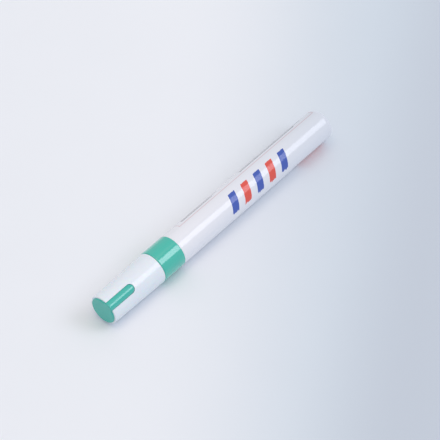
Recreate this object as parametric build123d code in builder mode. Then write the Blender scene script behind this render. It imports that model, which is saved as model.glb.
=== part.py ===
from build123d import *

import os
from math import cos, pi, sin, sqrt

# A capped paint marker lying on its side, in millimetres.
# Its axis runs along X, from the closed end of the cap at -X to the tail of the barrel at +X.
# The origin is under the middle of the marker, on the surface that it lies on, with Z up.

# Whole marker
overall_length = 140.0
cap_length = 30.1  # from the face of the plug to the collar
collar_length = 12.2
barrel_diameter = 14.6
collar_step = 0.2  # how far the collar stands out past the barrel
cap_step = 0.15  # how far the mouth of the cap stands in from the collar

# Clearances, and how far a cutting shape passes the face that it cuts
press_clearance = 0.02  # radial, between pieces pressed together
slide_clearance = 0.08  # radial, between pieces that slide on each other
stop_clearance = 0.05  # along the axis, where a moving piece meets its stop
overrun = 1.0

# Barrel: an impact-extruded tube, closed at the tail
barrel_wall = 0.5
tail_wall = 1.0
tail_radius = 2.6

# Collar: the grip ring, with a ribbed spigot that is pressed into the barrel
collar_edge_radius = 0.4
spigot_length = 10.0
spigot_wall = 1.2
spigot_rib_height = 0.2
spigot_rib_width = 0.9
spigot_rib_count = 3
spigot_chamfer = 0.6

# Cap shell: a tapered sleeve, slotted from its closed end
cap_draft = 0.45  # how much the radius shrinks from the mouth to the closed end
cap_mouth_wall = 0.87
cap_end_wall = 0.78
cap_mouth_radius = 0.35
cap_end_radius = 0.3

# Cap plug: the disc in the end of the cap, its skirt and the rounded key in the slot
plug_proud = 0.6
plug_edge_radius = 0.35
plug_disc_thickness = 1.8
plug_skirt_wall = 1.0
plug_skirt_past_key = 1.8
key_width = 4.1
key_length = 14.6
key_proud = 0.75  # how far the crest stands out past the end of the cap
key_crown_radius = 2.5  # of the rounded section
key_end_radius = 2.0  # of the corners at the far end, seen from outside
key_nose_radius = 0.8  # of the far end, seen from the side
key_roll = 33.2  # degrees from straight up, towards -Y
slot_clearance = 0.05

# Inner cap: the sealing liner, which closes on the tip of the nozzle
inner_cap_wall = 1.2
inner_cap_end_wall = 1.0
inner_cap_setback = 1.4  # from its mouth to the cone of the nozzle
inner_cap_mouth_chamfer = 0.4

# Nozzle: the front moulding that carries the nib and takes the cap
nozzle_tip_edge_radius = 0.8
nozzle_cone_lead = 1.0  # how far the cone starts inside the skirt of the plug
nozzle_cone_length = 5.6
neck_shoulder_height = 0.8
neck_shoulder_chamfer = 0.5
neck_bead_height = 0.2
neck_bead_width = 1.2
nozzle_plug_length = 6.6
nozzle_plug_wall = 1.1
chamber_lead = 1.6  # how far the paint chamber starts ahead of the nib's rear end
flow_groove_count = 4
flow_groove_width = 0.9
flow_groove_depth = 0.35

# Nib: a pressed fibre rod with a bullet tip
nib_diameter = 4.5
nib_tip_room = 2.0  # between the nib and the end of the inner cap
nib_exposed_length = 5.0
nib_depth = 4.2  # of its rear end past the start of the neck
nib_taper_length = 4.0
nib_tip_fullness = 1.4  # how far the curve of the bullet swells at its tip
nib_flank_fullness = 2.4  # how far it runs along at full diameter
nib_rear_chamfer = 0.3

# Valve: a soft seat, a sprung stem and the cage that holds them
seat_thickness = 1.5
seat_bore_diameter = 4.0
seat_chamfer = 0.7
stem_pad_diameter = 3.8
stem_pad_thickness = 1.0
stem_rod_diameter = 2.6
stem_fin_thickness = 0.9
stem_head_gap = 0.5  # the paint's way round the head
stem_flange_thickness = 1.0
stem_pin_diameter = 1.8
stem_pin_reach = 0.8  # past the cage at rest
spring_wire_diameter = 0.5
spring_pin_gap = 0.9  # from the guide pin to the coils
spring_length = 14.0
spring_turns = 6
housing_flange_length = 7.0
housing_step = 0.5  # from the flange in to the cage
housing_wall = 0.9
housing_end_wall = 1.2
housing_end_chamfer = 0.8
window_count = 4
window_width = 3.0
window_margin = 1.6  # of cage left at each end of a window

# Mixing ball
ball_diameter = 6.0
ball_clearance = 0.1

# Radii, from the barrel in to the valve
barrel_radius = barrel_diameter / 2
barrel_bore_radius = barrel_radius - barrel_wall
collar_radius = barrel_radius + collar_step
spigot_rib_radius = barrel_bore_radius - press_clearance
spigot_radius = spigot_rib_radius - spigot_rib_height
collar_bore_radius = spigot_radius - spigot_wall
pressed_radius = collar_bore_radius - press_clearance
chamber_radius = pressed_radius - nozzle_plug_wall
cage_radius = pressed_radius - housing_step
cage_bore_radius = cage_radius - housing_wall
stem_head_radius = cage_bore_radius - stem_head_gap
stem_rod_radius = stem_rod_diameter / 2
stem_pin_radius = stem_pin_diameter / 2
seat_bore_radius = seat_bore_diameter / 2
spring_radius = stem_pin_radius + spring_pin_gap + spring_wire_diameter / 2

# Radii, from the cap in to the nib
cap_mouth_outer_radius = collar_radius - cap_step
cap_end_outer_radius = cap_mouth_outer_radius - cap_draft
cap_bore_radius = cap_mouth_outer_radius - cap_mouth_wall
neck_bead_radius = cap_bore_radius - slide_clearance
neck_radius = neck_bead_radius - neck_bead_height
plug_bore_radius = cap_end_outer_radius - cap_end_wall
plug_radius = plug_bore_radius - press_clearance
key_crest_radius = cap_end_outer_radius + key_proud
skirt_bore_radius = plug_radius - plug_skirt_wall
liner_radius = skirt_bore_radius - press_clearance
liner_bore_radius = liner_radius - inner_cap_wall
nozzle_tip_radius = liner_bore_radius - slide_clearance
nib_radius = nib_diameter / 2
nib_bore_radius = nib_radius + slide_clearance

# Places along the axis, from the cap to the tail
axis_height = collar_radius
plug_face_x = -overall_length / 2
tail_x = overall_length / 2
tail_floor_x = tail_x - tail_wall
shell_end_x = plug_face_x + plug_proud
plug_floor_x = plug_face_x + plug_disc_thickness
key_end_x = plug_face_x + key_length
skirt_end_x = key_end_x + plug_skirt_past_key
liner_floor_x = plug_floor_x + inner_cap_end_wall
nib_tip_x = liner_floor_x + nib_tip_room
nozzle_tip_x = nib_tip_x + nib_exposed_length
cone_start_x = skirt_end_x - nozzle_cone_lead
liner_mouth_x = cone_start_x - inner_cap_setback
neck_start_x = cone_start_x + nozzle_cone_length
nib_rear_x = neck_start_x + nib_depth
chamber_start_x = nib_rear_x - chamber_lead
collar_front_x = plug_face_x + cap_length
barrel_mouth_x = collar_front_x + collar_length
seat_front_x = collar_front_x + nozzle_plug_length
seat_rear_x = seat_front_x + seat_thickness
flange_end_x = seat_rear_x + housing_flange_length
# The stem's 45 degree cone stops just short of the seat's chamfer
cone_tip_x = seat_rear_x - seat_chamfer + stop_clearance - (seat_bore_radius - stem_rod_radius)
head_front_x = cone_tip_x + stem_head_radius - stem_rod_radius
head_rear_x = head_front_x + stem_flange_thickness
housing_floor_x = head_rear_x + spring_length
housing_rear_x = housing_floor_x + housing_end_wall
stem_front_x = nib_rear_x + stop_clearance
stem_rear_x = housing_rear_x + stem_pin_reach
ball_x = tail_floor_x - ball_clearance - ball_diameter / 2
ball_height = axis_height - barrel_bore_radius + ball_clearance + ball_diameter / 2

pen_axis = Axis((0, 0, axis_height), (1, 0, 0))
# Profiles are drawn here as distance along the pen and distance from its axis
profile_plane = Plane(origin=(0, 0, axis_height), x_dir=(1, 0, 0), z_dir=(0, -1, 0))
# The key's own planes: its plan from outside the cap, and its side view
key_plan_plane = Plane(origin=(0, 0, axis_height), x_dir=(1, 0, 0), z_dir=(0, 0, 1)).rotated((key_roll, 0, 0))
key_side_plane = profile_plane.rotated((key_roll, 0, 0))


def section_plane(x):
    """The plane across the pen at x, facing the tail."""
    return Plane(origin=(x, 0, axis_height), x_dir=(0, 1, 0), z_dir=(1, 0, 0))


def key_plan(clearance):
    """The key seen from outside the cap, larger by the clearance all round."""
    length = key_length + 2 * clearance
    with BuildSketch(key_plan_plane) as plan:
        with Locations((plug_face_x + key_length / 2, 0)):
            Rectangle(length, key_width + 2 * clearance)
        fillet(plan.vertices().group_by(Axis.X)[-1], radius=key_end_radius + clearance)
    return plan.sketch


# Barrel
with BuildPart() as barrel:
    with BuildSketch(profile_plane):
        with BuildLine():
            outside = FilletPolyline(
                (barrel_mouth_x, barrel_radius),
                (tail_x, barrel_radius),
                (tail_x, 0),
                radius=tail_radius,
            )
            inside = FilletPolyline(
                (tail_floor_x, 0),
                (tail_floor_x, barrel_bore_radius),
                (barrel_mouth_x, barrel_bore_radius),
                radius=tail_radius - barrel_wall,
            )
            Line(outside @ 1, inside @ 0)
            Line(inside @ 1, outside @ 0)
        make_face()
    revolve(axis=pen_axis)

# Collar, with sealing ribs on its spigot
spigot_rib_pitch = (spigot_length - spigot_chamfer) / (spigot_rib_count + 1)
with BuildPart() as collar:
    with BuildSketch(section_plane(collar_front_x)):
        Circle(collar_radius)
    extrude(amount=collar_length)
    fillet(collar.edges().filter_by(GeomType.CIRCLE), radius=collar_edge_radius)
    with BuildSketch(section_plane(barrel_mouth_x)):
        Circle(spigot_radius)
    extrude(amount=spigot_length)
    chamfer(collar.edges().group_by(Axis.X)[-1], length=spigot_chamfer)
    for rib in range(spigot_rib_count):
        rib_x = barrel_mouth_x + (rib + 1) * spigot_rib_pitch
        with BuildSketch(profile_plane):
            with BuildLine():
                rib_start = (rib_x - spigot_rib_width / 2, spigot_radius)
                rib_end = (rib_x + spigot_rib_width / 2, spigot_radius)
                ThreePointArc(rib_start, (rib_x, spigot_rib_radius), rib_end)
                Line(rib_end, rib_start)
            make_face()
        revolve(axis=pen_axis)
    with BuildSketch(section_plane(collar_front_x)):
        Circle(collar_bore_radius)
    extrude(amount=collar_length + spigot_length, mode=Mode.SUBTRACT)

# Nozzle
with BuildPart() as nozzle:
    with BuildSketch(profile_plane):
        with BuildLine():
            bead_x = (neck_start_x + neck_shoulder_chamfer + collar_front_x) / 2
            bead_start = (bead_x - neck_bead_width / 2, neck_radius)
            bead_end = (bead_x + neck_bead_width / 2, neck_radius)
            Polyline(
                (seat_front_x, 0),
                (nozzle_tip_x, 0),
                (nozzle_tip_x, nozzle_tip_radius),
                (cone_start_x, nozzle_tip_radius),
                (neck_start_x, neck_radius - neck_shoulder_height),
                (neck_start_x, neck_radius - neck_shoulder_chamfer),
                (neck_start_x + neck_shoulder_chamfer, neck_radius),
                bead_start,
            )
            ThreePointArc(bead_start, (bead_x, neck_bead_radius), bead_end)
            Polyline(
                bead_end,
                (collar_front_x, neck_radius),
                (collar_front_x, pressed_radius),
                (seat_front_x, pressed_radius),
                (seat_front_x, 0),
            )
        make_face()
    revolve(axis=pen_axis)
    fillet(nozzle.edges().group_by(Axis.X)[0], radius=nozzle_tip_edge_radius)
    with BuildSketch(section_plane(nozzle_tip_x)):
        Circle(nib_bore_radius)
        with PolarLocations(nib_bore_radius, flow_groove_count):
            Rectangle(2 * flow_groove_depth, flow_groove_width)
    extrude(amount=seat_front_x - nozzle_tip_x, mode=Mode.SUBTRACT)
    with BuildSketch(section_plane(chamber_start_x)):
        Circle(chamber_radius)
    extrude(amount=seat_front_x - chamber_start_x, mode=Mode.SUBTRACT)

# Nib
with BuildPart() as nib:
    with BuildSketch(profile_plane):
        with BuildLine():
            shoulder_x = nib_tip_x + nib_taper_length
            Bezier(
                (nib_tip_x, 0),
                (nib_tip_x, nib_tip_fullness),
                (shoulder_x - nib_flank_fullness, nib_radius),
                (shoulder_x, nib_radius),
            )
            Polyline((shoulder_x, nib_radius), (nib_rear_x, nib_radius), (nib_rear_x, 0), (nib_tip_x, 0))
        make_face()
    revolve(axis=pen_axis)
    chamfer(nib.edges().group_by(Axis.X)[-1], length=nib_rear_chamfer)

# Valve seat
with BuildPart() as valve_seat:
    with BuildSketch(section_plane(seat_front_x)):
        Circle(pressed_radius)
        Circle(seat_bore_radius, mode=Mode.SUBTRACT)
    extrude(amount=seat_thickness)
    bore_edges = valve_seat.edges().filter_by(GeomType.CIRCLE).group_by(SortBy.RADIUS)[0]
    chamfer(bore_edges.sort_by(Axis.X)[-1], length=seat_chamfer)

# Valve stem: a finned rod, a conical head with its spring flange, and a guide pin
with BuildPart() as valve_stem:
    with BuildSketch(section_plane(stem_front_x)):
        Circle(stem_pad_diameter / 2)
    extrude(amount=stem_pad_thickness)
    with BuildSketch(section_plane(stem_front_x)):
        Circle(stem_rod_radius)
        with BuildSketch(mode=Mode.INTERSECT):
            Rectangle(stem_rod_diameter, stem_fin_thickness)
            Rectangle(stem_fin_thickness, stem_rod_diameter)
    extrude(amount=head_front_x - stem_front_x)
    with BuildSketch(profile_plane):
        with BuildLine():
            Polyline(
                (cone_tip_x, 0),
                (cone_tip_x, stem_rod_radius),
                (head_front_x, stem_head_radius),
                (head_rear_x, stem_head_radius),
                (head_rear_x, stem_pin_radius),
                (stem_rear_x, stem_pin_radius),
                (stem_rear_x, 0),
                close=True,
            )
        make_face()
    revolve(axis=pen_axis)

# Valve housing: a flange pressed into the collar, and a windowed cage behind it
with BuildPart() as valve_housing:
    with BuildSketch(section_plane(seat_rear_x)):
        Circle(pressed_radius)
    extrude(amount=housing_flange_length)
    with BuildSketch(section_plane(seat_rear_x)):
        Circle(cage_radius)
    extrude(amount=housing_rear_x - seat_rear_x)
    chamfer(valve_housing.edges().group_by(Axis.X)[-1], length=housing_end_chamfer)
    with BuildSketch(section_plane(seat_rear_x)):
        Circle(cage_bore_radius)
    extrude(amount=housing_floor_x - seat_rear_x, mode=Mode.SUBTRACT)
    with BuildSketch(section_plane(housing_floor_x)):
        Circle(stem_pin_radius + slide_clearance)
    extrude(amount=housing_end_wall, mode=Mode.SUBTRACT)
    with BuildSketch(section_plane(flange_end_x + window_margin)):
        with PolarLocations(cage_radius, window_count):
            Rectangle(2 * housing_wall + overrun, window_width)
    extrude(amount=housing_floor_x - flange_end_x - 2 * window_margin, mode=Mode.SUBTRACT)

# Valve spring: open coils, each half turn drawn as two arcs that meet on one tangent
spring_start_x = head_rear_x + spring_wire_diameter / 2 + stop_clearance
spring_end_x = housing_floor_x - spring_wire_diameter / 2 - stop_clearance
spring_lead = (spring_end_x - spring_start_x) / (2 * pi * spring_turns)  # advance in one radian
quarter_rise = spring_lead * pi / 2
# On this radius, halfway round, the two arcs share their tangent
joint_radius = sqrt((spring_lead * quarter_rise / spring_radius) ** 2 + quarter_rise**2 + spring_radius**2)
joint_radius -= spring_lead * quarter_rise / spring_radius


def coil_point(turn_angle, radius):
    """The point of the coil at this angle, on this radius."""
    x = spring_start_x + spring_lead * turn_angle
    return Vector(x, radius * cos(turn_angle), axis_height + radius * sin(turn_angle))


def coil_tangent(turn_angle):
    """The direction of the coil at this angle."""
    return Vector(spring_lead, -spring_radius * sin(turn_angle), spring_radius * cos(turn_angle))


with BuildPart() as valve_spring:
    with BuildLine() as coil:
        for half_turn in range(2 * spring_turns):
            start_angle = half_turn * pi
            first_point = coil_point(start_angle, spring_radius)
            joint_point = coil_point(start_angle + pi / 2, joint_radius)
            last_point = coil_point(start_angle + pi, spring_radius)
            first_arc = TangentArc(first_point, joint_point, tangent=coil_tangent(start_angle))
            TangentArc(joint_point, last_point, tangent=first_arc % 1)
    with BuildSketch(Plane(origin=coil_point(0, spring_radius), z_dir=coil_tangent(0))):
        Circle(spring_wire_diameter / 2)
    sweep(path=coil.line)

# Mixing ball, at the tail end of its run along the bottom of the barrel
with BuildPart(Plane((ball_x, 0, ball_height))) as mixing_ball:
    Sphere(ball_diameter / 2)

# Cap shell
with BuildPart() as cap_shell:
    with BuildSketch(profile_plane):
        with BuildLine():
            Polyline(
                (shell_end_x, 0),
                (shell_end_x, cap_end_outer_radius),
                (collar_front_x, cap_mouth_outer_radius),
                (collar_front_x, 0),
                close=True,
            )
        make_face()
    revolve(axis=pen_axis)
    fillet(cap_shell.edges().group_by(Axis.X)[0], radius=cap_end_radius)
    fillet(cap_shell.edges().group_by(Axis.X)[-1], radius=cap_mouth_radius)
    with BuildSketch(section_plane(shell_end_x)):
        Circle(plug_bore_radius)
    extrude(amount=cap_length, mode=Mode.SUBTRACT)
    with BuildSketch(section_plane(skirt_end_x)):
        Circle(cap_bore_radius)
    extrude(amount=collar_front_x - skirt_end_x, mode=Mode.SUBTRACT)
    extrude(key_plan(slot_clearance), amount=key_crest_radius + overrun, mode=Mode.SUBTRACT)

# Cap plug: the key is the overlap of its plan, its rounded section and its side view
with BuildPart() as cap_plug:
    extrude(key_plan(0), amount=key_crest_radius)
    with BuildSketch(section_plane(plug_face_x).rotated((key_roll, 0, 0))):
        with Locations((0, key_crest_radius - key_crown_radius)):
            Circle(key_crown_radius)
        with Locations((0, (key_crest_radius - key_crown_radius) / 2)):
            Rectangle(key_width, key_crest_radius - key_crown_radius)
    extrude(amount=key_length, mode=Mode.INTERSECT)
    with BuildSketch(key_side_plane) as key_side:
        with Locations((plug_face_x + key_length / 2, key_crest_radius / 2)):
            Rectangle(key_length, key_crest_radius)
        fillet(key_side.vertices().group_by(Axis.X)[-1].sort_by(Axis.Y)[-1], radius=key_nose_radius)
    extrude(amount=key_width, both=True, mode=Mode.INTERSECT)
    with BuildSketch(section_plane(plug_face_x)):
        Circle(plug_radius)
    extrude(amount=skirt_end_x - plug_face_x)
    with BuildSketch(section_plane(plug_floor_x)):
        Circle(skirt_bore_radius)
    extrude(amount=skirt_end_x - plug_floor_x, mode=Mode.SUBTRACT)
    fillet(cap_plug.faces().sort_by(Axis.X)[0].outer_wire().edges(), radius=plug_edge_radius)

# Inner cap
with BuildPart() as inner_cap:
    with BuildSketch(section_plane(plug_floor_x)):
        Circle(liner_radius)
    extrude(amount=liner_mouth_x - plug_floor_x)
    with BuildSketch(section_plane(liner_floor_x)):
        Circle(liner_bore_radius)
    extrude(amount=liner_mouth_x - liner_floor_x, mode=Mode.SUBTRACT)
    mouth_edges = inner_cap.edges().group_by(Axis.X)[-1]
    chamfer(mouth_edges.sort_by(SortBy.RADIUS)[0], length=inner_cap_mouth_chamfer)

# The coils' least gap, measured between points a turn apart
coil_samples = 360
coil_wire = coil.wires()[0]
coil_points = [coil_wire @ (i / coil_samples) for i in range(coil_samples + 1)]
samples_per_turn = coil_samples // spring_turns
coil_gap = min(
    (coil_points[i + step] - coil_points[i]).length
    for i in range(coil_samples - samples_per_turn)
    for step in (samples_per_turn - 1, samples_per_turn, samples_per_turn + 1)
    if i + step <= coil_samples
)
print(f"valve_spring least gap {coil_gap - spring_wire_diameter:.2f} mm")

pieces = {
    "barrel": barrel,
    "collar": collar,
    "nozzle": nozzle,
    "nib": nib,
    "valve_seat": valve_seat,
    "valve_stem": valve_stem,
    "valve_spring": valve_spring,
    "valve_housing": valve_housing,
    "mixing_ball": mixing_ball,
    "cap_shell": cap_shell,
    "cap_plug": cap_plug,
    "inner_cap": inner_cap,
}
os.makedirs("parts", exist_ok=True)
for name, piece in pieces.items():
    piece.part.label = name
    export_step(piece.part, f"parts/{name}.step")
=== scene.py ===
from math import asin, cos, hypot, pi, radians, sin, sqrt, tan

import bmesh
import bpy
from mathutils import Matrix, Vector
from mathutils.geometry import interpolate_bezier


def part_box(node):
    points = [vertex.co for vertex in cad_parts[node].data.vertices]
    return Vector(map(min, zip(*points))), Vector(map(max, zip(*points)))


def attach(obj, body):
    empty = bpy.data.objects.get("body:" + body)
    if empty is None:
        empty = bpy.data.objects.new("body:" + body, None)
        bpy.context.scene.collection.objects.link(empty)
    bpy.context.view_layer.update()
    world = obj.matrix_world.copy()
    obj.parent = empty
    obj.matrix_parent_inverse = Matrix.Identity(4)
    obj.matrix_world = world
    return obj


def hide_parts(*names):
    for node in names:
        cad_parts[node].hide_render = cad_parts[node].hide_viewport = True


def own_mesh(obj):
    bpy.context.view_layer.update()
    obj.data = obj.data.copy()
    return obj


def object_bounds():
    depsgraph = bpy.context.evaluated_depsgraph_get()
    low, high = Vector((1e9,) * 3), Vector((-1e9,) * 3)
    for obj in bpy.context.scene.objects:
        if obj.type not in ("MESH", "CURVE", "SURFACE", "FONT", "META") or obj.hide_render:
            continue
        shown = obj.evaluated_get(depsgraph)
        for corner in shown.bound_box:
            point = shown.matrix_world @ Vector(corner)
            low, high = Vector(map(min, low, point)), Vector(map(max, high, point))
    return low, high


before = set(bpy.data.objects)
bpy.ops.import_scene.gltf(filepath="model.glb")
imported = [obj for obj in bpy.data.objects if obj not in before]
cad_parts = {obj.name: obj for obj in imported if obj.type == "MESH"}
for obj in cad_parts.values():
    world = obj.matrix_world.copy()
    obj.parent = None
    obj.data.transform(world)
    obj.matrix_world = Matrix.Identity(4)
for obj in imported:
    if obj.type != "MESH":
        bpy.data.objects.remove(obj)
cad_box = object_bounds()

# Barrel: the tube that holds the paint, impact-extruded from aluminium with a closed, rounded tail.
# It is lacquered white outside and screen printed in blue, red and grey, and the collar is pressed
# into its mouth.
mm = 0.001
barrel_low, barrel_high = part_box("barrel")
axis_z = (cad_box[0][2] + cad_box[1][2]) / 2
barrel_mouth_x = barrel_low.x
tail_x = barrel_high.x
barrel_radius = (barrel_high.y - barrel_low.y) / 2
barrel_wall = 0.5 * mm
barrel_bore = barrel_radius - barrel_wall
tail_wall = 1.0 * mm
tail_floor_x = tail_x - tail_wall
tail_rounding = 2.6 * mm
floor_rounding = 2.1 * mm
mouth_rounding = 0.12 * mm
turning_steps = 192
same_point = 0.0005 * mm
same_place = 0.01 * mm


def turned(outline, closed=True):
    """A turned shape: its outline, as distance along the marker and from its axis, spun round."""
    shape = bmesh.new()
    corners = [shape.verts.new((x, 0, axis_z + radius)) for x, radius in outline]
    ends = corners[1:] + corners[:1] if closed else corners[1:]
    edges = [shape.edges.new(pair) for pair in zip(corners, ends)]
    bmesh.ops.spin(
        shape,
        geom=corners + edges,
        cent=(0, 0, axis_z),
        axis=(1, 0, 0),
        angle=2 * pi,
        steps=turning_steps,
        use_merge=True,
    )
    bmesh.ops.remove_doubles(shape, verts=shape.verts, dist=same_point)
    bmesh.ops.recalc_face_normals(shape, faces=shape.faces)
    return shape


def round_off(shape, parts, rounding, segments, affect="EDGES"):
    """Round these edges of the shape, or these corners of a flat one."""
    bmesh.ops.bevel(
        shape,
        geom=parts,
        offset=rounding,
        offset_type="OFFSET",
        affect=affect,
        segments=segments,
        profile=0.5,
        material=-1,
    )


def round_rim(shape, x, radius, rounding, segments=4):
    """Round the rim at this place along the marker and this distance from its axis."""

    def on_rim(vert):
        off_radius = hypot(vert.co.y, vert.co.z - axis_z) - radius
        return abs(vert.co.x - x) < same_place and abs(off_radius) < same_place

    rim = [edge for edge in shape.edges if on_rim(edge.verts[0]) and on_rim(edge.verts[1])]
    round_off(shape, rim, rounding, segments)


barrel_shape = turned(
    [
        (tail_floor_x, 0),
        (tail_floor_x, barrel_bore),
        (barrel_mouth_x, barrel_bore),
        (barrel_mouth_x, barrel_radius),
        (tail_x, barrel_radius),
        (tail_x, 0),
    ],
    closed=False,
)
round_rim(barrel_shape, tail_x, barrel_radius, tail_rounding, segments=14)
round_rim(barrel_shape, tail_floor_x, barrel_bore, floor_rounding, segments=6)
round_rim(barrel_shape, barrel_mouth_x, barrel_radius, mouth_rounding)
round_rim(barrel_shape, barrel_mouth_x, barrel_bore, mouth_rounding)


class Socket:
    """An output of a material's nodes. Sums of sockets add Math nodes, and node() adds any other."""

    def __init__(self, tree, output=None):
        self.tree = tree
        self.output = output

    def node(self, kind, settings=None, inputs=None, output=0):
        """A new node of this kind, with its settings made first and then its sockets set or linked."""
        made = self.tree.nodes.new(kind)
        for name, value in (settings or {}).items():
            setattr(made, name, value)
        for name, value in (inputs or {}).items():
            if isinstance(value, Socket):
                self.tree.links.new(value.output, made.inputs[name])
            else:
                made.inputs[name].default_value = value
        return Socket(self.tree, made.outputs[output] if made.outputs else None)

    def maths(self, operation, first, second=0.0, clamp=False):
        settings = {"operation": operation, "use_clamp": clamp}
        return self.node("ShaderNodeMath", settings, {0: first, 1: second})

    def __add__(self, other):
        return self.maths("ADD", self, other)

    def __sub__(self, other):
        return self.maths("SUBTRACT", self, other)

    def __mul__(self, other):
        return self.maths("MULTIPLY", self, other)

    def __truediv__(self, other):
        return self.maths("DIVIDE", self, other)

    def __radd__(self, other):
        return self.maths("ADD", other, self)

    def __rsub__(self, other):
        return self.maths("SUBTRACT", other, self)

    def __rmul__(self, other):
        return self.maths("MULTIPLY", other, self)

    def __rtruediv__(self, other):
        return self.maths("DIVIDE", other, self)

    def __abs__(self):
        return self.maths("ABSOLUTE", self)

    def clamped(self):
        """This value, kept between 0 and 1."""
        return self.maths("ADD", self, 0.0, clamp=True)

    def over(self, level, gain):
        """How far this value is over the level, times the gain, kept between 0 and 1."""
        return ((self - level) * gain).clamped()

    def band(self, centre, half_width, edge):
        """One within half_width of the centre and none outside, with an edge this soft."""
        return ((half_width - abs(self - centre)) / edge + 0.5).clamped()

    def mixed(self, below, above):
        """The colour below, turned to the colour above by this share."""
        colours = {"Factor": self, 6: below, 7: above}
        return self.node("ShaderNodeMix", {"data_type": "RGBA"}, colours, output=2)

    def coordinate(self, letter):
        """One of these coordinates: X along the marker, Y across it or Z up."""
        return self.node("ShaderNodeSeparateXYZ", {}, {"Vector": self}, output=letter)

    def noise(self, per_metre, detail=2.0, stretch=(1, 1, 1)):
        """Noise from 0 to 1 with this many lumps in a metre, drawn out where stretch is under 1."""
        scaled = {"Vector": self, "Scale": stretch}
        place = self.node("ShaderNodeMapping", {"vector_type": "POINT"}, scaled)
        lumps = {"Vector": place, "Scale": per_metre, "Detail": detail}
        return self.node("ShaderNodeTexNoise", {}, lumps)


def srgb(red, green, blue):
    """A colour read off as 0 to 255, as the light it stands for."""

    def light(value):
        share = value / 255
        return share / 12.92 if share <= 0.04045 else ((share + 0.055) / 1.055) ** 2.4

    return (light(red), light(green), light(blue), 1.0)


def new_finish(name):
    """A bare material, and its coordinates on the piece."""
    finish = bpy.data.materials.new(name)
    finish.use_nodes = True
    finish.node_tree.nodes.clear()
    place = Socket(finish.node_tree).node("ShaderNodeTexCoord", output="Object")
    return finish, place


def set_finish(place, varying, bump=None, bump_height=0.0, **constants):
    """The surface itself: what varies over it, its relief, and what is the same all over."""
    inputs = {name.replace("_", " "): value for name, value in constants.items()}
    inputs.update(varying)
    if bump is not None:
        relief = {"Height": bump, "Strength": 1.0, "Distance": bump_height}
        inputs["Normal"] = place.node("ShaderNodeBump", {}, relief)
    surface = place.node("ShaderNodeBsdfPrincipled", {}, inputs)
    place.node("ShaderNodeOutputMaterial", {}, {"Surface": surface})


# The print is laid out along the marker and as arc length round it, counted from the middle of its
# near side; turns are degrees from there, more of them further down
white_lacquer, place = new_finish("white_lacquer")
near_side_turn = 29.4
degree = radians(1) * barrel_radius
ink_edge = 0.06 * mm
along = place.coordinate("X")
across = place.coordinate("Y")
height = place.coordinate("Z")
turn_from_top = place.maths("ARCTAN2", 0 - across, height - axis_z)
arc = (turn_from_top - radians(near_side_turn)) * barrel_radius

# Five slanted brush strokes, blue and red in turn, with ends as ragged as bristles leave them
stroke_count = 5
stroke_pitch = 8.0 * mm
stroke_start_x = 2.0 * mm
stroke_length = 10.8 * mm
stroke_width = 4.3 * mm
stroke_slant = radians(20)
stroke_turn = 18.5
start_ragged = 0.9 * mm
end_ragged = 3.6 * mm
side_wander = 0.5 * mm
row_edge = 0.01
stroke_arc = arc - stroke_turn * degree
cell = (along + stroke_arc * tan(stroke_slant) - stroke_start_x) / stroke_pitch
cell_number = place.maths("FLOOR", cell)
in_row = cell.band(stroke_count / 2, stroke_count / 2, row_edge)
stroke_across = (cell - cell_number - 0.5) * stroke_pitch * cos(stroke_slant)
bristle_row = {"X": stroke_across, "Y": cell_number * stroke_pitch}
bristle_place = place.node("ShaderNodeCombineXYZ", {}, bristle_row)
bristles = bristle_place.noise(per_metre=1500, detail=4)
wander = place.noise(per_metre=500, detail=3) * side_wander
start_gap = stroke_length / 2 - bristles * start_ragged + stroke_arc
end_gap = stroke_length / 2 - bristles * end_ragged - stroke_arc
side_gap = stroke_width / 2 - wander - abs(stroke_across)
stroke_gap = place.maths("MINIMUM", side_gap, place.maths("MINIMUM", start_gap, end_gap))
strokes = (stroke_gap / ink_edge + 0.5).clamped() * in_row
odd = place.maths("FLOORED_MODULO", cell_number, 2.0)
red_share = strokes * odd
blue_share = strokes * (1 - odd)


def ruled_block(start_x, end_x, first_turn, last_turn, pitch, rule_width, raggedness):
    """Straight rules along the marker, between two turns round it, that end unevenly."""
    row = (arc - first_turn * degree) / pitch
    number = place.maths("FLOOR", row)
    line = (rule_width - abs(row - number - 0.5) * pitch * 2) / ink_edge
    chance = place.node("ShaderNodeTexWhiteNoise", {"noise_dimensions": "1D"}, {"W": number})
    ends = (end_x - chance * raggedness - along) / ink_edge
    starts = (along - start_x) / ink_edge
    middle_turn = (first_turn + last_turn) / 2
    half_turn = (last_turn - first_turn) / 2
    in_block = arc.band(middle_turn * degree, half_turn * degree, ink_edge)
    return line.clamped() * ends.clamped() * starts.clamped() * in_block


# A panel framed by a thin rule on the far side, with two blocks of fine rules in it
panel_start_x = -20.0 * mm
panel_end_x = 67.0 * mm
panel_first_turn = -150
panel_last_turn = -52
frame_rule_half = 0.2 * mm
panel_x = (panel_start_x + panel_end_x) / 2
panel_half_x = (panel_end_x - panel_start_x) / 2
panel_arc = (panel_first_turn + panel_last_turn) / 2 * degree
panel_half_arc = (panel_last_turn - panel_first_turn) / 2 * degree
past_x = abs(along - panel_x) - panel_half_x
past_arc = abs(arc - panel_arc) - panel_half_arc
frame_rule = place.maths("MAXIMUM", past_x, past_arc).band(0.0, frame_rule_half, ink_edge)
front_rules = ruled_block(
    start_x=-17.0 * mm,
    end_x=6.0 * mm,
    first_turn=-112,
    last_turn=-64,
    pitch=1.02 * mm,
    rule_width=0.5 * mm,
    raggedness=7.0 * mm,
)
rear_rules = ruled_block(
    start_x=20.0 * mm,
    end_x=61.0 * mm,
    first_turn=-112,
    last_turn=-64,
    pitch=1.02 * mm,
    rule_width=0.5 * mm,
    raggedness=9.0 * mm,
)

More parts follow.
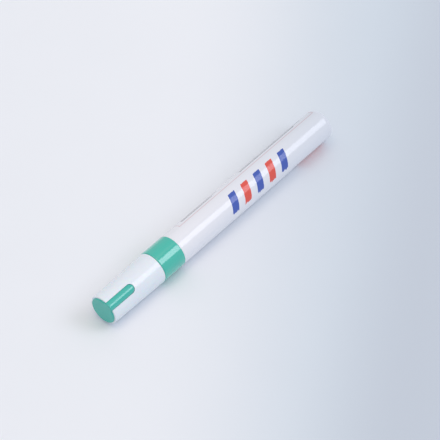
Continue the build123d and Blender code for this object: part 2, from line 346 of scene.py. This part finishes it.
# A few broad red rules low on the near side, under one thin grey rule
broad_rules = ruled_block(
    start_x=49.0 * mm,
    end_x=67.0 * mm,
    first_turn=86,
    last_turn=146,
    pitch=2.55 * mm,
    rule_width=1.8 * mm,
    raggedness=4.0 * mm,
)
edge_rule = ruled_block(
    start_x=42.0 * mm,
    end_x=66.0 * mm,
    first_turn=73,
    last_turn=83,
    pitch=1.27 * mm,
    rule_width=0.55 * mm,
    raggedness=2.0 * mm,
)

# The lacquer is a little uneven, and the rim of the tail is rubbed
lacquer_white = srgb(233, 233, 240)
lacquer_shade = srgb(222, 224, 236)
rubbed_grey = srgb(176, 180, 190)
ink_blue = srgb(72, 96, 182)
ink_red = srgb(230, 90, 78)
ink_rose = srgb(206, 128, 134)
ink_grey = srgb(78, 78, 90)
rose_cover = 0.45
grey_cover = 0.9
rub_reach = 3.0 * mm
rub_fade = 2.0 * mm
mottle = place.noise(per_metre=220, detail=4)
rub_marks = place.noise(per_metre=900, detail=5).over(0.6, gain=6)
rubbed = along.band(tail_x, rub_reach, rub_fade) * rub_marks
fine_rules = (front_rules + rear_rules + edge_rule).clamped()
colour = (mottle * 0.05).mixed(lacquer_white, lacquer_shade)
colour = (rubbed * 0.25).mixed(colour, rubbed_grey)
colour = (frame_rule * rose_cover).mixed(colour, ink_rose)
colour = (fine_rules * grey_cover).mixed(colour, ink_grey)
colour = broad_rules.mixed(colour, ink_red)
colour = red_share.mixed(colour, ink_red)
colour = blue_share.mixed(colour, ink_blue)
inked = (red_share + blue_share + broad_rules).clamped()
orange_peel = place.noise(per_metre=700, detail=2)
set_finish(
    place,
    {
        "Base Color": colour,
        "Roughness": 0.03 + mottle * 0.05 + inked * 0.05 + rubbed * 0.2,
    },
    bump=orange_peel * 0.1 + inked,
    bump_height=0.004 * mm,
)
sharp_edge = radians(38)


def finish_piece(name, shape, body, node, finish):
    """Make the shape a piece of the marker that stands for its node and rides on its body."""
    mesh = bpy.data.meshes.new(name)
    shape.to_mesh(mesh)
    shape.free()
    mesh.shade_smooth()
    mesh.set_sharp_from_angle(angle=sharp_edge)
    mesh.materials.append(finish)
    piece = bpy.data.objects.new(name, mesh)
    bpy.context.scene.collection.objects.link(piece)
    even = piece.modifiers.new("even shading", "WEIGHTED_NORMAL")
    even.keep_sharp = True
    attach(piece, body)
    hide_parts(node)


finish_piece("barrel_tube", barrel_shape, "body", "barrel", white_lacquer)

# Mixing ball: a loose bearing ball, dropped in before the collar closes the barrel.
# It is hardened steel, ground and tumbled, and rattles when the marker is shaken.
ball_low, ball_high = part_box("mixing_ball")
ball_radius = (ball_high.x - ball_low.x) / 2
ball_middle = (ball_low + ball_high) / 2
ball_shape = bmesh.new()
bmesh.ops.create_icosphere(
    ball_shape, subdivisions=5, radius=ball_radius, matrix=Matrix.Translation(ball_middle)
)
ball_steel, place = new_finish("ball_steel")
tumble_marks = place.noise(per_metre=2600, detail=3)
set_finish(
    place,
    {
        "Base Color": tumble_marks.mixed(srgb(196, 197, 201), srgb(168, 169, 174)),
        "Roughness": 0.12 + tumble_marks * 0.16,
    },
    bump=tumble_marks,
    bump_height=0.002 * mm,
    Metallic=1.0,
)
finish_piece("steel_ball", ball_shape, "ball", "mixing_ball", ball_steel)

# Collar: the grip ring between cap and barrel, injection moulded in glossy green plastic.
# Behind the ring a spigot with three sealing ribs is pressed into the mouth of the barrel.
collar_low, collar_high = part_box("collar")
collar_front_x = collar_low.x
spigot_end_x = collar_high.x
collar_radius = min(collar_high.y, -collar_low.y)
press_gap = 0.02 * mm
rib_height = 0.2 * mm
collar_wall = 1.2 * mm
rib_radius = barrel_bore - press_gap
spigot_radius = rib_radius - rib_height
collar_bore = spigot_radius - collar_wall
collar_rounding = 0.4 * mm
spigot_chamfer = 0.6 * mm
rib_count = 3
rib_half = 0.45 * mm
rib_pitch = (spigot_end_x - barrel_mouth_x - spigot_chamfer) / (rib_count + 1)
spigot_ribs = []
for number in range(1, rib_count + 1):
    rib_x = barrel_mouth_x + number * rib_pitch
    spigot_ribs.append((rib_x - rib_half, spigot_radius))
    spigot_ribs.append((rib_x, rib_radius))
    spigot_ribs.append((rib_x + rib_half, spigot_radius))
collar_shape = turned(
    [
        (collar_front_x, collar_bore),
        (collar_front_x, collar_radius),
        (barrel_mouth_x, collar_radius),
        (barrel_mouth_x, spigot_radius),
        *spigot_ribs,
        (spigot_end_x - spigot_chamfer, spigot_radius),
        (spigot_end_x, spigot_radius - spigot_chamfer),
        (spigot_end_x, collar_bore),
    ]
)
round_rim(collar_shape, collar_front_x, collar_radius, collar_rounding, segments=6)
round_rim(collar_shape, barrel_mouth_x, collar_radius, collar_rounding, segments=6)

green_gloss, place = new_finish("green_gloss")
flow = place.noise(per_metre=160, detail=3, stretch=(0.35, 1, 1))
scuffs = place.noise(per_metre=1500, detail=4, stretch=(1, 0.15, 0.15)).over(0.6, gain=5)
set_finish(
    place,
    {
        "Base Color": flow.mixed(srgb(58, 182, 164), srgb(66, 188, 172)),
        "Roughness": 0.1 + flow * 0.06 + scuffs * 0.1,
    },
    bump=flow + scuffs * 0.04,
    bump_height=0.002 * mm,
    Coat_Weight=0.9,
    Coat_Roughness=0.04,
)
finish_piece("collar_ring", collar_shape, "body", "collar", green_gloss)

# Valve: a soft black seat, then a stem, its spring and the slotted cage that holds them in the collar.
# Stem and cage are moulded in natural acetal, and the spring is wound from stainless wire.
seat_rubber, place = new_finish("seat_rubber")
bloom = place.noise(per_metre=1800, detail=4)
set_finish(
    place,
    {
        "Base Color": bloom.mixed(srgb(30, 30, 32), srgb(52, 52, 54)),
        "Roughness": 0.55 + bloom * 0.25,
    },
    bump=bloom,
    bump_height=0.01 * mm,
)
acetal, place = new_finish("natural_acetal")
flow = place.noise(per_metre=400, detail=3, stretch=(0.3, 1, 1))
set_finish(
    place,
    {
        "Base Color": flow.mixed(srgb(232, 231, 222), srgb(240, 239, 232)),
        "Roughness": 0.3 + flow * 0.12,
    },
    bump=flow,
    bump_height=0.006 * mm,
    Subsurface_Weight=0.15,
    Subsurface_Scale=0.5 * mm,
)
spring_steel, place = new_finish("spring_steel")
drawn = place.noise(per_metre=3000, detail=3)
set_finish(
    place,
    {
        "Base Color": drawn.mixed(srgb(186, 187, 190), srgb(206, 206, 208)),
        "Roughness": 0.18 + drawn * 0.14,
    },
    bump=drawn,
    bump_height=0.002 * mm,
    Metallic=1.0,
)
for node, finish in (
    ("valve_seat", seat_rubber),
    ("valve_stem", acetal),
    ("valve_housing", acetal),
    ("valve_spring", spring_steel),
):
    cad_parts[node].data.materials.clear()
    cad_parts[node].data.materials.append(finish)
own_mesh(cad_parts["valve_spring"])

# Nozzle: the white front moulding, pressed into the collar, that holds the nib and takes the cap.
# Four grooves beside the nib let the paint come forward, and the bead on the neck grips the cap.
nozzle_low, nozzle_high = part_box("nozzle")
nozzle_tip_x = nozzle_low.x
seat_front_x = nozzle_high.x
nib_low, nib_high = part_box("nib")
nib_radius = (nib_high.y - nib_low.y) / 2
nib_clearance = 0.08 * mm
nib_bore = nib_radius + nib_clearance
bead_radius = (nozzle_high.y - nozzle_low.y) / 2
bead_height = 0.2 * mm
bead_shoulder = 0.15 * mm
bead_half = 0.6 * mm
neck_radius = bead_radius - bead_height
nozzle_tip_radius = 3.8 * mm
tip_rounding = 0.8 * mm
cone_lead = 1.0 * mm
cone_length = 5.6 * mm
cone_start_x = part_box("cap_plug")[1].x - cone_lead
neck_start_x = cone_start_x + cone_length
shoulder_height = 0.8 * mm
shoulder_chamfer = 0.5 * mm
root_radius = collar_bore - press_gap
chamber_wall = 1.1 * mm
chamber_radius = root_radius - chamber_wall
nib_tail = 1.6 * mm
chamber_x = nib_high.x - nib_tail
bead_x = (neck_start_x + shoulder_chamfer + collar_front_x) / 2
nozzle_shape = turned(
    [
        (nozzle_tip_x, nib_bore),
        (nozzle_tip_x, nozzle_tip_radius),
        (cone_start_x, nozzle_tip_radius),
        (neck_start_x, neck_radius - shoulder_height),
        (neck_start_x, neck_radius - shoulder_chamfer),
        (neck_start_x + shoulder_chamfer, neck_radius),
        (bead_x - bead_half, neck_radius),
        (bead_x - bead_half / 2, neck_radius + bead_shoulder),
        (bead_x, bead_radius),
        (bead_x + bead_half / 2, neck_radius + bead_shoulder),
        (bead_x + bead_half, neck_radius),
        (collar_front_x, neck_radius),
        (collar_front_x, root_radius),
        (seat_front_x, root_radius),
        (seat_front_x, chamber_radius),
        (chamber_x, chamber_radius),
        (chamber_x, nib_bore),
    ]
)
groove_count = 4
groove_half_width = 0.45 * mm
groove_depth = 0.35 * mm
groove_half_turn = asin(groove_half_width / nib_bore)
for number in range(groove_count):
    groove_turn = 2 * pi * number / groove_count
    outward = Vector((0, cos(groove_turn), sin(groove_turn)))
    groove = []
    for vert in nozzle_shape.verts:
        spoke = Vector((0, vert.co.y, vert.co.z - axis_z))
        if abs(spoke.length - nib_bore) < same_place and spoke.angle(outward) < groove_half_turn:
            groove.append(vert)
    bmesh.ops.translate(nozzle_shape, vec=outward * groove_depth, verts=groove)
round_rim(nozzle_shape, nozzle_tip_x, nozzle_tip_radius, tip_rounding, segments=8)

white_gloss, place = new_finish("white_gloss")
flow = place.noise(per_metre=180, detail=3, stretch=(0.3, 1, 1))
rubs = place.noise(per_metre=2200, detail=4, stretch=(0.08, 1, 1)).over(0.62, gain=5)
set_finish(
    place,
    {
        "Base Color": flow.mixed(srgb(224, 231, 239), srgb(229, 235, 243)),
        "Roughness": 0.12 + flow * 0.06 + rubs * 0.12,
    },
    bump=flow + rubs * 0.2,
    bump_height=0.004 * mm,
    Subsurface_Weight=0.1,
    Subsurface_Scale=0.6 * mm,
)
finish_piece("nozzle_front", nozzle_shape, "body", "nozzle", white_gloss)

# Nib: a rod of polyester fibres, bonded and ground to a bullet tip, that slides in the nozzle.
# It is white as made, and the paint has stained the end that writes.
nib_taper = 4.0 * mm
tip_fullness = 1.4 * mm
flank_fullness = 2.4 * mm
nib_chamfer = 0.3 * mm
bullet_points = 13
flank_x = nib_low.x + nib_taper
bullet = interpolate_bezier(
    (nib_low.x, 0),
    (nib_low.x, tip_fullness),
    (flank_x - flank_fullness, nib_radius),
    (flank_x, nib_radius),
    bullet_points,
)
nib_shape = turned(
    [
        *[(point.x, point.y) for point in bullet],
        (nib_high.x - nib_chamfer, nib_radius),
        (nib_high.x, nib_radius - nib_chamfer),
        (nib_high.x, 0),
    ],
    closed=False,
)
nib_fibre, place = new_finish("nib_fibre")
stain_end_x = nib_low.x + 4.2 * mm
stain_fade = 3.2 * mm
stain_wander = 0.6
fibres = place.noise(per_metre=5200, detail=4, stretch=(0.06, 1, 1))
soaked = place.noise(per_metre=500, detail=3)
stain = ((stain_end_x - place.coordinate("X")) / stain_fade + (soaked - 0.5) * stain_wander).clamped()
bare = fibres.mixed(srgb(214, 210, 200), srgb(238, 236, 228))
stained = fibres.mixed(srgb(40, 138, 118), srgb(66, 172, 150))
set_finish(
    place,
    {"Base Color": stain.mixed(bare, stained), "Roughness": 0.75 + fibres * 0.2},
    bump=fibres,
    bump_height=0.05 * mm,
)
finish_piece("nib_rod", nib_shape, "nib", "nib", nib_fibre)

# Inner cap: the milky sealing cup in the end of the cap, which closes on the tip of the nozzle.
# It is moulded in soft polyethylene and pressed into the skirt of the plug.
liner_low, liner_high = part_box("inner_cap")
liner_radius = (liner_high.y - liner_low.y) / 2
liner_wall = 1.2 * mm
liner_floor = 1.0 * mm
lead_in = 0.4 * mm
liner_bore = liner_radius - liner_wall
liner_floor_x = liner_low.x + liner_floor
liner_shape = turned(
    [
        (liner_low.x, 0),
        (liner_low.x, liner_radius),
        (liner_high.x, liner_radius),
        (liner_high.x, liner_bore + lead_in),
        (liner_high.x - lead_in, liner_bore),
        (liner_floor_x, liner_bore),
        (liner_floor_x, 0),
    ],
    closed=False,
)
milky, place = new_finish("milky_polyethylene")
flow = place.noise(per_metre=300, detail=3, stretch=(0.4, 1, 1))
set_finish(
    place,
    {
        "Base Color": flow.mixed(srgb(226, 229, 232), srgb(236, 238, 240)),
        "Roughness": 0.35 + flow * 0.15,
    },
    bump=flow,
    bump_height=0.006 * mm,
    Subsurface_Weight=0.35,
    Subsurface_Scale=1.0 * mm,
)
finish_piece("inner_cap_liner", liner_shape, "cap", "inner_cap", milky)

# Cap plug: the green end of the cap, a disc and skirt with a half-round key that lies along the cap.
# It is moulded in one piece and pressed into the shell from its end, with the key in the slot; the
# mould is polished for the key and skirt, and a little duller for the face.
plug_low, plug_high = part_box("cap_plug")
plug_face_x = plug_low.x
skirt_end_x = plug_high.x
plug_radius = 6.1 * mm
skirt_wall = 1.0 * mm
skirt_bore = plug_radius - skirt_wall
plug_floor = 1.8 * mm
plug_floor_x = plug_face_x + plug_floor
face_rounding = 0.35 * mm
plug_shape = turned(
    [
        (plug_face_x, 0),
        (plug_face_x, plug_radius),
        (skirt_end_x, plug_radius),
        (skirt_end_x, skirt_bore),
        (plug_floor_x, skirt_bore),
        (plug_floor_x, 0),
    ],
    closed=False,
)
round_rim(plug_shape, plug_face_x, plug_radius, face_rounding, segments=5)

# The key starts as the outline of its front: a crown spun round its own centre, on two sides and a foot
key_turn = radians(33.2)
key_roll = Matrix.Translation((0, 0, axis_z)) @ Matrix.Rotation(key_turn, 4, "X")
key_half_width = 2.05 * mm
key_length = 14.6 * mm
key_crest = 7.65 * mm
key_foot = 5.4 * mm
key_height = key_crest - key_foot
crown_radius = 2.5 * mm
crown_steps = 24
crown_centre = (0, 0, key_crest - crown_radius)
crown_reach = asin(key_half_width / crown_radius)
key_shape = bmesh.new()
crest = key_shape.verts.new((plug_face_x, 0, key_crest))
to_side = Matrix.Rotation(-crown_reach, 3, "X")
bmesh.ops.rotate(key_shape, verts=[crest], cent=crown_centre, matrix=to_side)
bmesh.ops.spin(
    key_shape, geom=[crest], cent=crown_centre, axis=(1, 0, 0), angle=2 * crown_reach, steps=crown_steps
)
left = min(key_shape.verts, key=lambda vert: vert.co.y)
right = max(key_shape.verts, key=lambda vert: vert.co.y)
left_foot = key_shape.verts.new((plug_face_x, left.co.y, key_foot))
right_foot = key_shape.verts.new((plug_face_x, right.co.y, key_foot))
for pair in ((left, left_foot), (left_foot, right_foot), (right_foot, right)):
    key_shape.edges.new(pair)
bmesh.ops.contextual_create(key_shape, geom=key_shape.edges[:])

# The outline is drawn out along the cap to the key's end, which is rounded in plan and at its nose
key_end_x = plug_face_x + key_length
plan_rounding = 2.0 * mm
nose_rounding = 0.8 * mm
plan_x = key_end_x - plan_rounding
stations = [(plan_x, 1.0, 1.0)]
for degrees in (12, 24, 36, 48, 58, 67, 75, 82, 87):
    station_x = plan_x + plan_rounding * sin(radians(degrees))
    past_nose = max(0.0, station_x - (key_end_x - nose_rounding))
    drop = nose_rounding - sqrt(nose_rounding**2 - past_nose**2)
    stations.append((station_x, cos(radians(degrees)), 1 - drop / key_height))
loop = key_shape.edges[:]
last_x = plug_face_x
last_width = 1.0
last_rise = 1.0
for station_x, width, rise in stations:
    grown = bmesh.ops.extrude_edge_only(key_shape, edges=loop)["geom"]
    loop = [part for part in grown if isinstance(part, bmesh.types.BMEdge)]
    loop = [edge for edge in loop if all(vert in grown for vert in edge.verts)]
    moved = [part for part in grown if isinstance(part, bmesh.types.BMVert)]
    bmesh.ops.translate(key_shape, vec=(station_x - last_x, 0, 0), verts=moved)
    bmesh.ops.scale(
        key_shape,
        vec=(1, width / last_width, rise / last_rise),
        space=Matrix.Translation((0, 0, -key_foot)),
        verts=moved,
    )
    last_x = station_x
    last_width = width
    last_rise = rise
bmesh.ops.contextual_create(key_shape, geom=loop)
bmesh.ops.recalc_face_normals(key_shape, faces=key_shape.faces)


def on_front_crown(vert):
    """Whether a corner of the key lies on the crown of its front."""
    return abs(vert.co.x - plug_face_x) < same_place and vert.co.z > key_foot + same_place


front_crown = [edge for edge in key_shape.edges if all(on_front_crown(vert) for vert in edge.verts)]
round_off(key_shape, front_crown, face_rounding, segments=4)
bmesh.ops.transform(key_shape, matrix=key_roll, verts=key_shape.verts)


def joined(shape, other, operation):
    """The first shape with the other one added to it or cut from it."""
    objects = []
    for name, part in (("kept", shape), ("other", other)):
        mesh = bpy.data.meshes.new(name)
        part.to_mesh(mesh)
        part.free()
        objects.append(bpy.data.objects.new(name, mesh))
        bpy.context.scene.collection.objects.link(objects[-1])
    kept, tool = objects
    join = kept.modifiers.new("join", "BOOLEAN")
    join.operation = operation
    join.solver = "EXACT"
    join.object = tool
    bpy.context.view_layer.update()
    evaluated = kept.evaluated_get(bpy.context.evaluated_depsgraph_get())
    made = bpy.data.meshes.new_from_object(evaluated)
    result = bmesh.new()
    result.from_mesh(made)
    for part in objects:
        mesh = part.data
        bpy.data.objects.remove(part)
        bpy.data.meshes.remove(mesh)
    bpy.data.meshes.remove(made)
    bmesh.ops.remove_doubles(result, verts=result.verts, dist=same_point)
    return result


plug_shape = joined(plug_shape, key_shape, "UNION")
green_satin, place = new_finish("green_satin")
flow = place.noise(per_metre=260, detail=3)
grain = place.noise(per_metre=4200, detail=2)
face_gloss = 0.2
key_gloss = 0.5
off_face = ((place.coordinate("X") - plug_face_x) / face_rounding).clamped()
set_finish(
    place,
    {
        "Base Color": flow.mixed(srgb(56, 178, 164), srgb(64, 184, 171)),
        "Roughness": 0.06 + flow * 0.03 + grain * 0.02,
        "Coat Weight": face_gloss + off_face * (key_gloss - face_gloss),
    },
    bump=grain,
    bump_height=0.0005 * mm,
    Coat_Roughness=0.03,
)
finish_piece("cap_plug_key", plug_shape, "cap", "cap_plug", green_satin)

# Cap shell: the white sleeve of the cap, slightly tapered so that it leaves its mould.
# A slot from its closed end takes the key, and its mouth snaps over the bead of the nozzle.
shell_low, shell_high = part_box("cap_shell")
shell_end_x = shell_low.x
shell_mouth_x = shell_high.x
shell_end_radius = 6.9 * mm
shell_mouth_radius = 7.35 * mm
shell_wall = 0.87 * mm
shell_bore = shell_mouth_radius - shell_wall
plug_bore = plug_radius + press_gap
end_rounding = 0.3 * mm
lip_rounding = 0.35 * mm
lip_inner_rounding = 0.2 * mm
shell_shape = turned(
    [
        (shell_end_x, plug_bore),
        (shell_end_x, shell_end_radius),
        (shell_mouth_x, shell_mouth_radius),
        (shell_mouth_x, shell_bore),
        (skirt_end_x, shell_bore),
        (skirt_end_x, plug_bore),
    ]
)
round_rim(shell_shape, shell_end_x, shell_end_radius, end_rounding, segments=5)
round_rim(shell_shape, shell_mouth_x, shell_mouth_radius, lip_rounding, segments=5)
round_rim(shell_shape, shell_mouth_x, shell_bore, lip_inner_rounding, segments=3)

# The slot is cut by a block with the key's plan, which passes through the wall and out of its end
slot_clearance = 0.05 * mm
slot_half = key_half_width + slot_clearance
slot_far_x = key_end_x + slot_clearance
block_start_x = shell_end_x - 1.0 * mm
block_foot = 4.0 * mm
block_height = 6.0 * mm
slot_shape = bmesh.new()
slot_corners = [
    slot_shape.verts.new((block_start_x, -slot_half, block_foot)),
    slot_shape.verts.new((slot_far_x, -slot_half, block_foot)),
    slot_shape.verts.new((slot_far_x, slot_half, block_foot)),
    slot_shape.verts.new((block_start_x, slot_half, block_foot)),
]
slot_shape.faces.new(slot_corners)
far_corners = slot_corners[1:3]
round_off(slot_shape, far_corners, plan_rounding, segments=10, affect="VERTICES")
block_top = bmesh.ops.extrude_face_region(slot_shape, geom=slot_shape.faces[:])["geom"]
block_top = [part for part in block_top if isinstance(part, bmesh.types.BMVert)]
bmesh.ops.translate(slot_shape, vec=(0, 0, block_height), verts=block_top)
bmesh.ops.recalc_face_normals(slot_shape, faces=slot_shape.faces)
bmesh.ops.transform(slot_shape, matrix=key_roll, verts=slot_shape.verts)
shell_shape = joined(shell_shape, slot_shape, "DIFFERENCE")
finish_piece("cap_sleeve", shell_shape, "cap", "cap_shell", white_gloss)

# Camera: a long lens above the cap end, as the marker was photographed.
# Its place and focal length come from the outlines of plug, collar and tail.
scene = bpy.context.scene
centre = Vector((0, 0, axis_z))
azimuth = radians(-48.4)
elevation = radians(49.69)
camera_distance = 0.8
focal_pixels = 1882.06
picture_pixels = 440
marker_pixel_x = 216.49
marker_pixel_y = 212.86
straight_up = Vector((0, 0, 1))
to_camera = Vector((sin(azimuth) * cos(elevation), -cos(azimuth) * cos(elevation), sin(elevation)))
picture_right = straight_up.cross(to_camera).normalized()
picture_up = to_camera.cross(picture_right)
pixel = camera_distance / focal_pixels
aim = centre + picture_right * (picture_pixels / 2 - marker_pixel_x) * pixel
aim -= picture_up * (picture_pixels / 2 - marker_pixel_y) * pixel
camera_data = bpy.data.cameras.new("camera")
camera_data.lens = camera_data.sensor_width * focal_pixels / picture_pixels
camera = bpy.data.objects.new("camera", camera_data)
camera.location = centre + to_camera * camera_distance
camera.rotation_mode = "QUATERNION"
camera.rotation_quaternion = (aim - camera.location).to_track_quat("-Z", "Y")
scene.collection.objects.link(camera)
scene.camera = camera

# Table: the pale sheet that the marker lies on. Painted shade darkens it towards the right of the
# picture, standing in for light that falls off there.
# It is only the setting, and no part of the marker.
table_half = 3.0
table_shape = bmesh.new()
bmesh.ops.create_grid(table_shape, x_segments=2, y_segments=2, size=table_half)
table_mesh = bpy.data.meshes.new("table")
table_shape.to_mesh(table_mesh)
table_shape.free()
table = bpy.data.objects.new("table", table_mesh)
scene.collection.objects.link(table)
pale_sheet, place = new_finish("pale_sheet")
away = straight_up.cross(picture_right)
shade_lean = 0.2
shade_way = picture_right - away * shade_lean
shade_start = 45.0 * mm
shade_end = 95.0 * mm
shade_distance = place.coordinate("X") * shade_way.x + place.coordinate("Y") * shade_way.y
shade = place.node(
    "ShaderNodeMapRange",
    {"interpolation_type": "SMOOTHSTEP"},
    {"Value": shade_distance, "From Min": shade_start, "From Max": shade_end},
)
clouding = place.noise(per_metre=30)
sheet_white = clouding.mixed(srgb(234, 237, 243), srgb(232, 235, 241))
# Painted shade: the darker colour the sheet turns to towards the right, standing in for less light
# there
sheet_painted_shade = srgb(222, 223, 230)
set_finish(
    place,
    {"Base Color": shade.mixed(sheet_white, sheet_painted_shade)},
    Roughness=0.7,
    Specular_IOR_Level=0.2,
)
table_mesh.materials.append(pale_sheet)

# Light: an even, slightly blue room, and a low softbox with a grid on it, whose pool of warm light ends
# to the right of the marker's middle. A large panel near the ceiling stands where the marker's rounded
# side mirrors it to the camera.
scene.view_settings.view_transform = "Standard"
room = bpy.data.worlds.new("room")
room.use_nodes = True
room.node_tree.nodes["Background"].inputs["Color"].default_value = (0.865, 0.943, 1.0, 1.0)
room.node_tree.nodes["Background"].inputs["Strength"].default_value = 0.698
scene.world = room


def add_panel(name, over, toward, along, length, width, power, spread, colour):
    """A panel of light off this point, facing it, with its length in the direction given by along."""
    lamp = bpy.data.lights.new(name, "AREA")
    lamp.shape = "RECTANGLE"
    lamp.size = length
    lamp.size_y = width
    lamp.energy = power
    lamp.spread = spread
    lamp.color = colour
    panel = bpy.data.objects.new(name, lamp)
    back = toward.normalized()
    side = (along - back * back.dot(along)).normalized()
    turned_to = Matrix((side, back.cross(side), back)).transposed().to_4x4()
    panel.matrix_world = Matrix.Translation(over + toward) @ turned_to
    scene.collection.objects.link(panel)


softbox_width = 1.0
softbox_distance = 0.12
pool_end = 24.0 * mm
pool_lean = 0.1
pool_way = (picture_right - away * pool_lean).normalized()
add_panel(
    "softbox",
    over=pool_way * (pool_end - softbox_width / 2),
    toward=straight_up * softbox_distance,
    along=away + picture_right * pool_lean,
    length=1.4,
    width=softbox_width,
    power=1.18,
    spread=radians(60),
    colour=(1.0, 0.755, 0.585),
)
ceiling_distance = 2.0
add_panel(
    "ceiling_panel",
    over=centre,
    toward=Vector((0.484, -0.507, 0.713)) * ceiling_distance,
    along=Vector((1, 0, 0)),
    length=0.8,
    width=1.1,
    power=10.0,
    spread=pi,
    colour=(0.87, 0.89, 1.0),
)
